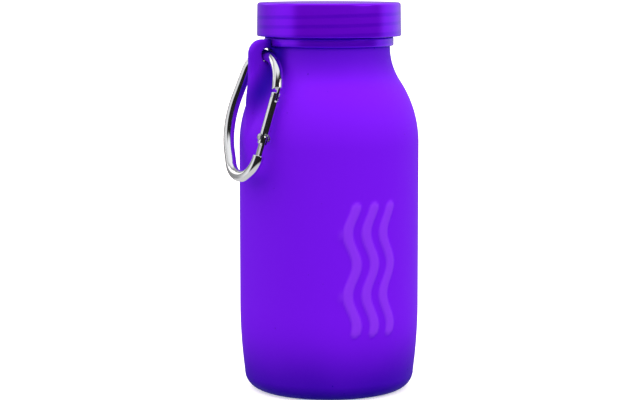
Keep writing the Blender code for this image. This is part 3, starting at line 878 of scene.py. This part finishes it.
class BOTTLE_OT_silicone_body(bpy.types.Operator):
    """Build the silicone body in one piece, with its ear and its raised waves"""

    bl_idname = "bottle.silicone_body"
    bl_label = "Silicone body"

    def execute(self, context):
        settings = context.scene.bottle_silicone
        shape = SkinShape(settings)
        outline = outer_outline() + lining_outline() + inner_outline()
        shell = turned("body_shell", outline, graded_angles())
        mesh = joined("silicone_skin", shell, [("UNION", ear_mesh(shape))])
        places = coordinates(mesh)
        round_radius = np.hypot(places[:, 0], places[:, 1])
        outer = shape.body_distance(places) > -WALL / 3
        near_ear = shape.ear_distance(places) < settings.ear_fillet + SIDE_ROW
        shaped = outer & near_ear & (places[:, 2] < EAR_TOP + SIDE_ROW) & (round_radius > LINING_RADIUS + GAP)
        places[shaped] = settled(shape.distance, places[shaped])
        raised = wave_mask(places, settings) * outer
        outward = places * (1, 1, 0) / np.maximum(np.hypot(places[:, 0], places[:, 1]), 1e-6)[:, None]
        set_coordinates(mesh, places + outward * (raised * settings.wave_height)[:, None])
        # Painted shade at the neck and towards the bottom of the foot, deepened in the ear's hollow fillet;
        # kept as the depth attribute
        depth = wall_painted_shade(places)
        depth[shaped] = np.maximum(depth[shaped], shape.fillet_painted_shade(places[shaped]))
        add_attribute(mesh, "rest", "FLOAT_VECTOR", "vector", places)
        add_attribute(mesh, "raised", "FLOAT", "value", raised)
        add_attribute(mesh, "depth", "FLOAT", "value", depth)
        clean(mesh)
        smooth(mesh, 40.0)
        body = new_object("silicone_body", mesh, silicone_material(settings))
        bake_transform(body)
        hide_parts("body_base", "body_wall", "body_shoulder")
        return {"FINISHED"}


# ---------------------------------------------------------------- cap and collar


BEAD_HEIGHT = 0.0034
BEAD_EDGE = 0.0006
SEAT_GAP = 0.00005
COLLAR_RIM_EDGE = 0.0004
CAP_DRAFT = 0.0002
THREAD_ROOM = 0.0013
CAP_BORE = COLLAR_RADIUS + THREAD_ROOM
CAP_ROW = 0.015
CAP_TOP_THICKNESS = 0.0021
CAP_LIP = 0.0006
PLUG_RADIUS = MOUTH_RADIUS - GAP
PLUG_WALL = 0.0014
PLUG_DEPTH = 0.0032


def collar_outline():
    bead_top = COLLAR_BOTTOM + BEAD_HEIGHT
    bottom = LEDGE + SEAT_GAP
    lower = arc((BEAD_RADIUS - BEAD_EDGE, bottom + BEAD_EDGE), BEAD_EDGE, -90, 0, 4)
    upper = arc((BEAD_RADIUS - BEAD_EDGE, bead_top - BEAD_EDGE), BEAD_EDGE, 0, 90, 4)
    rim = arc((COLLAR_RADIUS - COLLAR_RIM_EDGE, RIM - COLLAR_RIM_EDGE), COLLAR_RIM_EDGE, 0, 90, 3)
    bead = [(COLLAR_BORE, bottom)] + lower + upper
    return bead + [(COLLAR_RADIUS, bead_top)] + rim + [(COLLAR_BORE, RIM)]


def cap_outline(edge):
    top_radius = CAP_RADIUS - CAP_DRAFT
    underside = CAP_TOP - CAP_TOP_THICKNESS
    plug_bottom = underside - PLUG_DEPTH
    top = arc((top_radius - edge, CAP_TOP - edge), edge, 90, 0, 7)
    lip = arc((CAP_RADIUS - CAP_LIP, SKIRT_BOTTOM + CAP_LIP), CAP_LIP, 0, -90, 4)
    inner_lip = arc((CAP_BORE + CAP_LIP, SKIRT_BOTTOM + CAP_LIP), CAP_LIP, -90, -180, 3)
    inside = [(CAP_BORE, underside), (PLUG_RADIUS, underside), (PLUG_RADIUS, plug_bottom),
              (PLUG_RADIUS - PLUG_WALL, plug_bottom), (PLUG_RADIUS - PLUG_WALL, underside), (0.0, underside)]
    return [(0.0, CAP_TOP), (CAP_ROW, CAP_TOP)] + top + lip + inner_lip + inside


class BOTTLE_OT_collar(bpy.types.Operator):
    """Build the threaded collar with its bead"""

    bl_idname = "bottle.collar"
    bl_label = "Threaded collar"

    def execute(self, context):
        ring = turned("collar_ring", collar_outline(), even_angles(ROUND_STEPS))
        thread = ridge("collar_ridge", COLLAR_RADIUS, COLLAR_RIDGE_BOTTOM, COLLAR_TURNS, False)
        mesh = joined("collar_mesh", ring, [("UNION", thread)])
        material = plastic_material(context.scene.bottle_plastic)
        finish_piece("threaded_collar", mesh, material, "shoulder", ["neck_collar"])
        return {"FINISHED"}


class BOTTLE_OT_cap(bpy.types.Operator):
    """Build the screw cap, and give its seal a finish"""

    bl_idname = "bottle.cap"
    bl_label = "Screw cap and seal"

    def execute(self, context):
        settings = context.scene.bottle_plastic
        shell = turned("cap_body", cap_outline(settings.edge), even_angles(ROUND_STEPS))
        thread = ridge("cap_ridge", CAP_BORE, CAP_RIDGE_BOTTOM, CAP_TURNS, True)
        mesh = joined("cap_mesh", shell, [("UNION", thread)])
        finish_piece("screw_cap", mesh, plastic_material(settings), "cap", ["cap_shell"])
        frame["nodes"]["cap_seal"].material_slots[0].material = seal_material(settings)
        return {"FINISHED"}


# ---------------------------------------------------------------- carabiner


# Corners of the wire's centre line in the carabiner's plane, each with its bend
NOSE_DROP = 0.0142
NOSE = (0.0118, -0.0025, 0.0162)
BACK = (-0.0095, 0.0019, 0.0090)
SPINE = (-0.0154, -0.0316, 0.0293)
HEEL = (0.0007, -0.0520, 0.0122)
GATE_BEND = 0.0090
TONGUE_THICKNESS = 0.0016
TONGUE_WIDTH = 0.0028
HOOK_THICKNESS = 0.0012
HOOK_LENGTH = 0.0046
HOOK_STEM = 0.0010
HOOK_LIP = 0.0009
LATCH_RADIUS = 0.0005
RIVET_RADIUS = 0.0008
GATE_TOP_DROP = 0.0156
GATE_TAIL = 0.0028
GATE_BORE = 0.0011
BORE_LENGTH = 0.0100
GATE_EDGE = 0.0005
END_EDGE = 0.0004
SINK = 0.0005
EASE = 0.00018
BEND_STEPS = 26


def rounded_path(corners, steps):
    """Points along straight runs joined by bends: corners are (x, z, bend radius)."""
    points = []
    for before, here, after in zip(corners, corners[1:], corners[2:]):
        spot = Vector(here[:2])
        back = (Vector(before[:2]) - spot).normalized()
        ahead = (Vector(after[:2]) - spot).normalized()
        half = back.angle(ahead) / 2
        centre = spot + (back + ahead).normalized() * (here[2] / math.sin(half))
        first = spot + back * (here[2] / math.tan(half)) - centre
        turn = math.copysign(180 - math.degrees(2 * half), back.x * ahead.y - back.y * ahead.x)
        angle = math.degrees(math.atan2(first.y, first.x))
        points += arc(centre, here[2], angle, angle - turn, steps)
    return [corners[0][:2]] + points + [corners[-1][:2]]


def wire_path():
    side = RIVET.x
    low = HEEL[1]
    corners = [(side, -NOSE_DROP, 0.0), NOSE, BACK, SPINE, HEEL, (side, low, GATE_BEND),
               (side, low + GATE_BEND + SINK, 0.0)]
    return rounded_path(corners, BEND_STEPS)


def swept(name, path, radius, steps):
    """A round wire with eased ends along a path of (x, z) points in the plane Y = 0."""
    spots = [Vector(p) for p in path]
    first = (spots[1] - spots[0]).normalized()
    last = (spots[-2] - spots[-1]).normalized()
    start = [(spots[0] + first * along, size) for along, size in eased(radius)]
    finish = [(spots[-1] + last * along, size) for along, size in reversed(eased(radius))]
    stations = start + [(spot, radius) for spot in spots[1:-1]] + finish
    bm = bmesh.new()
    rings = []
    for i, (spot, size) in enumerate(stations):
        before = stations[max(i - 1, 0)][0]
        after = stations[min(i + 1, len(stations) - 1)][0]
        along = (after - before).normalized()
        out = Vector((along.y, -along.x))
        ring = []
        for k in range(steps):
            angle = math.tau * k / steps
            flat = spot + out * (size * math.cos(angle))
            ring.append(bm.verts.new((flat.x, size * math.sin(angle), flat.y)))
        rings.append(ring)
    for low, high in zip(rings, rings[1:]):
        for k in range(steps):
            bm.faces.new((low[k], low[(k + 1) % steps], high[(k + 1) % steps], high[k]))
    bm.faces.new(rings[0])
    bm.faces.new(list(reversed(rings[-1])))
    return mesh_from(name, bm)


def eased(radius):
    """How a wire's end grows to its full radius: pairs of distance from the tip and radius."""
    angles = np.radians([0, 30, 60, 90])
    return [(END_EDGE * (1 - math.cos(a)), radius - END_EDGE * (1 - math.sin(a))) for a in angles]


def hook_outline():
    """The nose's hook: a stem on the outer side, and a lip that turns in under the latch pin."""
    outer = RIVET.x + LATCH_RADIUS + SMALL_GAP + HOOK_STEM
    inner = RIVET.x - LATCH_RADIUS
    tip = -NOSE_DROP - HOOK_LENGTH
    buried = 2 * SINK - NOSE_DROP
    stem = outer - HOOK_STEM
    return [(stem, buried), (outer, buried), (outer, tip), (inner, tip), (inner, tip + HOOK_LIP),
            (stem, tip + HOOK_LIP)]


def tongue_outline():
    """The tongue: round about the rivet, with its foot inside the wire."""
    half = TONGUE_WIDTH / 2
    foot = HEEL[1] + GATE_BEND - 2 * SINK
    return arc((RIVET.x, RIVET.z), half, 0, 180, 16) + [(RIVET.x - half, foot), (RIVET.x + half, foot)]


def carabiner_mesh(settings):
    wire = swept("carabiner_wire", wire_path(), settings.wire_radius, WIRE_STEPS)
    hook = plate("carabiner_hook", hook_outline(), HOOK_THICKNESS, EASE)
    tongue = plate("carabiner_tongue", tongue_outline(), TONGUE_THICKNESS, EASE)
    bore = rod("tongue_bore", RIVET_RADIUS + SMALL_GAP / 2, TONGUE_THICKNESS * 3, (RIVET.x, 0, RIVET.z))
    return joined("carabiner_mesh", wire, [("UNION", hook), ("UNION", tongue), ("DIFFERENCE", bore)])


def gate_outline(radius):
    """The gate about its rivet: a bar with rounded ends."""
    top = -GATE_TOP_DROP - RIVET.z
    low = arc((radius - GATE_EDGE, GATE_EDGE - GATE_TAIL), GATE_EDGE, -90, 0, 4)
    high = arc((radius - GATE_EDGE, top - GATE_EDGE), GATE_EDGE, 0, 90, 4)
    return [(0.0, -GATE_TAIL)] + low + high + [(0.0, top)]


def gate_mesh(settings):
    """The slotted and bored gate, laid out about its rivet."""
    radius = settings.gate_radius
    top = -GATE_TOP_DROP - RIVET.z
    through = radius * 3
    slot_depth = HOOK_LENGTH - (GATE_TOP_DROP - NOSE_DROP) + 4 * SMALL_GAP
    fork_depth = TONGUE_WIDTH / 2 + SMALL_GAP
    latch = -NOSE_DROP - HOOK_LENGTH + HOOK_LIP + SMALL_GAP + LATCH_RADIUS - RIVET.z
    fork = 2 * (GATE_TAIL + fork_depth)
    bore_outline = [(0.0, fork_depth - SINK), (GATE_BORE, fork_depth - SINK),
                    (GATE_BORE, fork_depth + BORE_LENGTH), (0.0, fork_depth + BORE_LENGTH)]
    cuts = [
        block("nose_slot", (through, HOOK_THICKNESS + 2 * SMALL_GAP, 2 * slot_depth), (0, 0, top)),
        block("fork_slot", (through, TONGUE_THICKNESS + 2 * SMALL_GAP, fork), (0, 0, -GATE_TAIL)),
        turned("gate_bore", bore_outline, even_angles(24)),
        rod("rivet_hole", RIVET_RADIUS + SMALL_GAP, through, (0, 0, 0)),
        rod("latch_hole", LATCH_RADIUS + SMALL_GAP / 2, through, (0, 0, latch)),
    ]
    bar = turned("gate_bar", gate_outline(radius), even_angles(GATE_STEPS))
    return joined("gate_mesh", bar, [("DIFFERENCE", cut) for cut in cuts])


class BOTTLE_OT_carabiner(bpy.types.Operator):
    """Build the carabiner and its gate, and give the pins and the spring a finish"""

    bl_idname = "bottle.carabiner"
    bl_label = "Carabiner"

    def execute(self, context):
        settings = context.scene.bottle_metal
        bright = bright_material(settings)
        wire = carabiner_mesh(settings)
        wire.transform(CARABINER)
        finish_piece("carabiner_wire", wire, bright, "carabiner", ["carabiner_frame"])
        gate = gate_mesh(settings)
        gate.transform(CARABINER @ Matrix.Translation(RIVET))
        finish_piece("snap_gate", gate, bright, "gate", ["carabiner_gate"])
        steel = pin_material(settings)
        for name in ("gate_rivet", "latch_pin", "gate_plunger", "gate_spring"):
            frame["nodes"][name].material_slots[0].material = steel
        return {"FINISHED"}


# ---------------------------------------------------------------- stage


FLOOR_RADIUS = 14.0
DOME_RADIUS = 16.0
# What glossy pieces reflect: a dark stretch of the studio between two angles in degrees from the -Y side,
# positive towards +X, and between two heights, each the sine of an elevation
DARK_FROM = -84.0
DARK_TO = 66.0
DARK_SOFTNESS = 9.0
DARK_BOTTOM = -0.42
BOTTOM_SOFTNESS = 0.12
DARK_TOP = 0.86
TOP_SOFTNESS = 0.08
# The wall's light falls to the back's between these two angles
BACK_FROM = 105.0
BACK_TO = 150.0
DARK_LIGHT = 0.012
WALL_LIGHT = 0.90
BACK_LIGHT = 0.30
CEILING_LIGHT = 1.0
GROUND_LIGHT = 0.70
FLOOR_GLOW = 0.45
SENSOR_WIDTH = 36.0
CAMERA_SHIFT = (-0.0141, 0.0084)
# Lamps: name, place, size, power and colour
LAMPS = (
    ("front_box", (0.75, -1.15, 0.75), (0.7, 0.7), 3.0, (1.0, 0.95, 0.92)),
    ("back_box", (-0.7, 1.2, 0.9), (0.8, 0.8), 2.0, (1.0, 0.97, 0.95)),
)


def glow_material(name, colour, strength):
    material, _, shader = new_material(name)
    shader.inputs["Base Color"].default_value = (0, 0, 0, 1)
    shader.inputs["Specular IOR Level"].default_value = 0.0
    shader.inputs["Emission Color"].default_value = opaque(colour)
    shader.inputs["Emission Strength"].default_value = strength
    return material


def floor_material(colour):
    material, _, shader = new_material("pale_floor")
    shader.inputs["Base Color"].default_value = opaque(colour)
    shader.inputs["Roughness"].default_value = 0.9
    shader.inputs["Specular IOR Level"].default_value = 0.0
    shader.inputs["Emission Color"].default_value = (1, 1, 1, 1)
    shader.inputs["Emission Strength"].default_value = FLOOR_GLOW
    return material


def make_floor(settings):
    bm = bmesh.new()
    bmesh.ops.create_circle(bm, cap_ends=True, radius=FLOOR_RADIUS, segments=96)
    floor = new_object("floor", mesh_from("floor", bm), floor_material(settings.floor_colour))
    floor.visible_diffuse = False
    floor.visible_glossy = False
    floor.visible_shadow = False


def make_dome(name, material):
    bm = bmesh.new()
    bmesh.ops.create_uvsphere(bm, u_segments=64, v_segments=32, radius=DOME_RADIUS)
    dome = new_object(name, mesh_from(name, bm), material)
    dome.visible_diffuse = False
    dome.visible_shadow = False
    return dome


def reflected_material():
    """The studio as glossy pieces reflect it: pale, with a dark stretch on the -Y side."""
    material, recipe, shader = new_material("studio_reflection")
    way = recipe.node("ShaderNodeVectorMath", {"operation": "NORMALIZE"}, {0: place_in(recipe)}).outputs[0]
    split = recipe.node("ShaderNodeSeparateXYZ", {}, {"Vector": way})
    parts = [Value(recipe, part) for part in split.outputs]
    angle = recipe.math("ARCTAN2", parts[0], 0.0 - parts[1]) * (180 / math.pi)
    after = recipe.between(angle, DARK_FROM - DARK_SOFTNESS, DARK_FROM + DARK_SOFTNESS)
    before = recipe.between(angle, DARK_TO + DARK_SOFTNESS, DARK_TO - DARK_SOFTNESS)
    bottom = (DARK_BOTTOM - BOTTOM_SOFTNESS, DARK_BOTTOM + BOTTOM_SOFTNESS)
    top = (DARK_TOP - TOP_SOFTNESS, DARK_TOP + TOP_SOFTNESS)
    above = recipe.between(parts[2], *bottom)
    below = recipe.between(parts[2], *reversed(top))
    wall = recipe.between(recipe.math("ABSOLUTE", angle), BACK_FROM, BACK_TO, WALL_LIGHT, BACK_LIGHT)
    ends = recipe.between(parts[2], *bottom, GROUND_LIGHT, 0.0)
    ends = ends + recipe.between(parts[2], *top, 0.0, CEILING_LIGHT)
    inside = above * below
    light = ends + inside * wall * (1.0 - after * before) + inside * after * before * DARK_LIGHT
    recipe.plug(shader.inputs["Emission Color"], recipe.mix(light, (0, 0, 0, 1), (1, 1, 1, 1)))
    shader.inputs["Base Color"].default_value = (0, 0, 0, 1)
    shader.inputs["Specular IOR Level"].default_value = 0.0
    shader.inputs["Emission Strength"].default_value = 1.0
    return material


def make_domes():
    """A plain white surround for the camera, and the studio that only reflections see."""
    surround = make_dome("surround", glow_material("surround_glow", (1, 1, 1), 1.0))
    surround.visible_glossy = False
    reflected = make_dome("reflected_studio", reflected_material())
    reflected.visible_camera = False


def make_world(settings):
    """Bright soft light from above and dim light from below."""
    world = bpy.data.worlds.new("studio")
    world.use_nodes = True
    bpy.context.scene.world = world
    recipe = Recipe(world.node_tree)
    place = recipe.node("ShaderNodeTexCoord", {}, {}).outputs["Generated"]
    up = Value(recipe, recipe.node("ShaderNodeSeparateXYZ", {}, {"Vector": place}).outputs[2])
    colour = recipe.mix(recipe.between(up, -0.20, 0.35), opaque(settings.ground), opaque(settings.sky))
    background = world.node_tree.nodes["Background"]
    recipe.plug(background.inputs["Color"], colour)


def make_lamp(name, place, size, power, colour):
    lamp = bpy.data.lights.new(name, "AREA")
    lamp.shape = "RECTANGLE"
    lamp.size, lamp.size_y = size
    lamp.energy = power
    lamp.color = colour
    item = bpy.data.objects.new(name, lamp)
    bpy.context.scene.collection.objects.link(item)
    item.location = place
    item.rotation_euler = (Vector((0, 0, CAP_TOP / 2)) - Vector(place)).to_track_quat("-Z", "Y").to_euler()


def make_camera(settings):
    camera = bpy.data.cameras.new("camera")
    camera.sensor_width = SENSOR_WIDTH
    camera.lens = settings.lens
    camera.shift_x, camera.shift_y = CAMERA_SHIFT
    item = bpy.data.objects.new("camera", camera)
    bpy.context.scene.collection.objects.link(item)
    turn = settings.camera_side
    item.location = (-math.sin(turn) * settings.camera_distance, -math.cos(turn) * settings.camera_distance,
                     settings.camera_height)
    item.rotation_euler = (math.pi / 2 - settings.camera_dip, 0.0, -turn)
    bpy.context.scene.camera = item


class BOTTLE_OT_stage(bpy.types.Operator):
    """Set up the floor, the light and the camera"""

    bl_idname = "bottle.stage"
    bl_label = "Stage"

    def execute(self, context):
        settings = context.scene.bottle_stage
        make_floor(settings)
        make_domes()
        make_world(settings)
        for lamp in LAMPS:
            make_lamp(*lamp)
        make_camera(settings)
        context.scene.view_settings.view_transform = "Standard"
        return {"FINISHED"}


# ---------------------------------------------------------------- panel


class BOTTLE_PT_panel(bpy.types.Panel):
    bl_label = "Folding bottle"
    bl_idname = "BOTTLE_PT_panel"
    bl_space_type = "VIEW_3D"
    bl_region_type = "UI"
    bl_category = "Bottle"

    def draw(self, context):
        for maker in OPERATORS:
            self.layout.operator(maker.bl_idname)
        for name in SETTINGS:
            group = getattr(context.scene, name)
            box = self.layout.box()
            for key in group.__annotations__:
                box.prop(group, key)


SETTINGS = {
    "bottle_silicone": SiliconeSettings,
    "bottle_plastic": PlasticSettings,
    "bottle_metal": MetalSettings,
    "bottle_stage": StageSettings,
}
OPERATORS = (
    BOTTLE_OT_silicone_body,
    BOTTLE_OT_collar,
    BOTTLE_OT_cap,
    BOTTLE_OT_carabiner,
    BOTTLE_OT_stage,
)


def register():
    for name, group in SETTINGS.items():
        bpy.utils.register_class(group)
        setattr(bpy.types.Scene, name, PointerProperty(type=group))
    for maker in OPERATORS:
        bpy.utils.register_class(maker)
    bpy.utils.register_class(BOTTLE_PT_panel)


def unregister():
    bpy.utils.unregister_class(BOTTLE_PT_panel)
    for maker in reversed(OPERATORS):
        bpy.utils.unregister_class(maker)
    for name, group in reversed(SETTINGS.items()):
        delattr(bpy.types.Scene, name)
        bpy.utils.unregister_class(group)


def main():
    register()
    bpy.ops.bottle.silicone_body()
    bpy.ops.bottle.collar()
    bpy.ops.bottle.cap()
    bpy.ops.bottle.carabiner()
    bpy.ops.bottle.stage()


if __name__ == "__main__":
    main()
